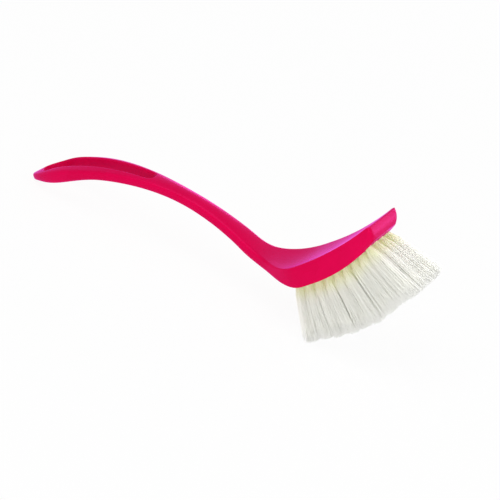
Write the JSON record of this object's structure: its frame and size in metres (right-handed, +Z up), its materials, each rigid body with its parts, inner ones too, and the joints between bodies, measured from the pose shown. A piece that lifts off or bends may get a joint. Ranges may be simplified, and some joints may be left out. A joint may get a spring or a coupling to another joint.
{
  "type": "dish brush",
  "caption": "Dish brush with a long arched handle that has a teardrop hanging slot, and a raised head with a scraper lip and fanned tufts of bristles.",
  "frame": {"origin": "middle of the footprint on the table, with the brush lying on its tail and its bristle tips", "axes": "+X from the tail to the head, +Y across the brush to the left of the head, +Z up from the table"},
  "size_m": [0.2558, 0.036, 0.0864],
  "materials": {
    "handle_plastic": "glossy",
    "bristle_nylon": "satin",
    "anchor_wire": "plain"
  },
  "bodies": {
    "root": {"handle": "handle_plastic", "tuft_anchors": "anchor_wire", "tuft_1_1": "bristle_nylon", "tuft_1_2": "bristle_nylon", "tuft_1_3": "bristle_nylon", "tuft_1_4": "bristle_nylon", "tuft_1_5": "bristle_nylon", "tuft_1_6": "bristle_nylon", "tuft_1_7": "bristle_nylon", "tuft_1_8": "bristle_nylon", "tuft_1_9": "bristle_nylon", "tuft_2_1": "bristle_nylon", "tuft_2_2": "bristle_nylon", "tuft_2_3": "bristle_nylon", "tuft_2_4": "bristle_nylon", "tuft_2_5": "bristle_nylon", "tuft_2_6": "bristle_nylon", "tuft_2_7": "bristle_nylon", "tuft_2_8": "bristle_nylon", "tuft_2_9": "bristle_nylon", "tuft_3_1": "bristle_nylon", "tuft_3_2": "bristle_nylon", "tuft_3_3": "bristle_nylon", "tuft_3_4": "bristle_nylon", "tuft_3_5": "bristle_nylon", "tuft_3_6": "bristle_nylon", "tuft_3_7": "bristle_nylon", "tuft_3_8": "bristle_nylon", "tuft_3_9": "bristle_nylon", "tuft_4_1": "bristle_nylon", "tuft_4_2": "bristle_nylon", "tuft_4_3": "bristle_nylon", "tuft_4_4": "bristle_nylon", "tuft_4_5": "bristle_nylon", "tuft_4_6": "bristle_nylon", "tuft_4_7": "bristle_nylon", "tuft_4_8": "bristle_nylon", "tuft_4_9": "bristle_nylon"}
  },
  "joints": []
}
